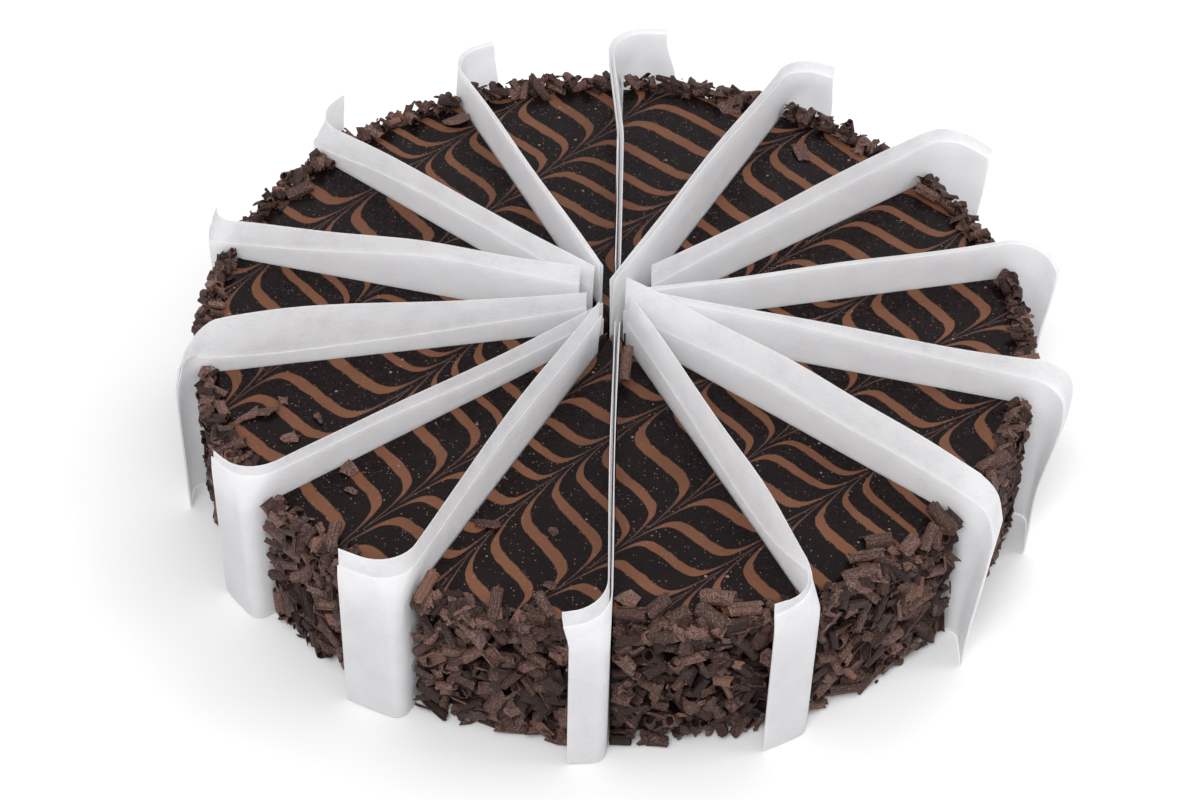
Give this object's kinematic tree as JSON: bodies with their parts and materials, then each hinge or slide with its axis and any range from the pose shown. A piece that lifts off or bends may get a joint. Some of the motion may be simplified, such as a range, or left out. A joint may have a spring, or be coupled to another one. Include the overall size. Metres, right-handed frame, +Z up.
{
  "type": "chocolate truffle cake",
  "caption": "Round glazed chocolate truffle cake with a feathered top and a coat of chocolate curls, cut into slices with folded waxed-paper dividers standing in the cuts.",
  "frame": {"origin": "centre of the cake's underside", "axes": "+Z up; the front of the cake, where the picture is taken from, faces -Y; +X is to the right"},
  "size_m": [0.2563, 0.2589, 0.0655],
  "materials": {
    "chocolate_cake": "dense dark chocolate cake, dull",
    "chocolate_glaze": "smooth glossy dark glaze, feathered with milk chocolate lines",
    "chocolate_curls": "dull dark chocolate curls with a pale bloom",
    "waxed_paper": "white waxed baking parchment, slightly translucent"
  },
  "bodies": {
    "root": {"slice_01": "chocolate_cake", "slice_02": "chocolate_cake", "slice_03": "chocolate_cake", "slice_04": "chocolate_cake", "slice_05": "chocolate_cake", "slice_06": "chocolate_cake", "slice_07": "chocolate_cake", "slice_08": "chocolate_cake", "slice_09": "chocolate_cake", "slice_10": "chocolate_cake", "slice_11": "chocolate_cake", "slice_12": "chocolate_cake", "slice_13": "chocolate_cake", "slice_14": "chocolate_cake", "divider_01": "waxed_paper", "divider_02": "waxed_paper", "divider_03": "waxed_paper", "divider_04": "waxed_paper", "divider_05": "waxed_paper", "divider_06": "waxed_paper", "divider_07": "waxed_paper", "divider_08": "waxed_paper", "divider_09": "waxed_paper", "divider_10": "waxed_paper", "divider_11": "waxed_paper", "divider_12": "waxed_paper", "divider_13": "waxed_paper", "divider_14": "waxed_paper"}
  },
  "joints": []
}
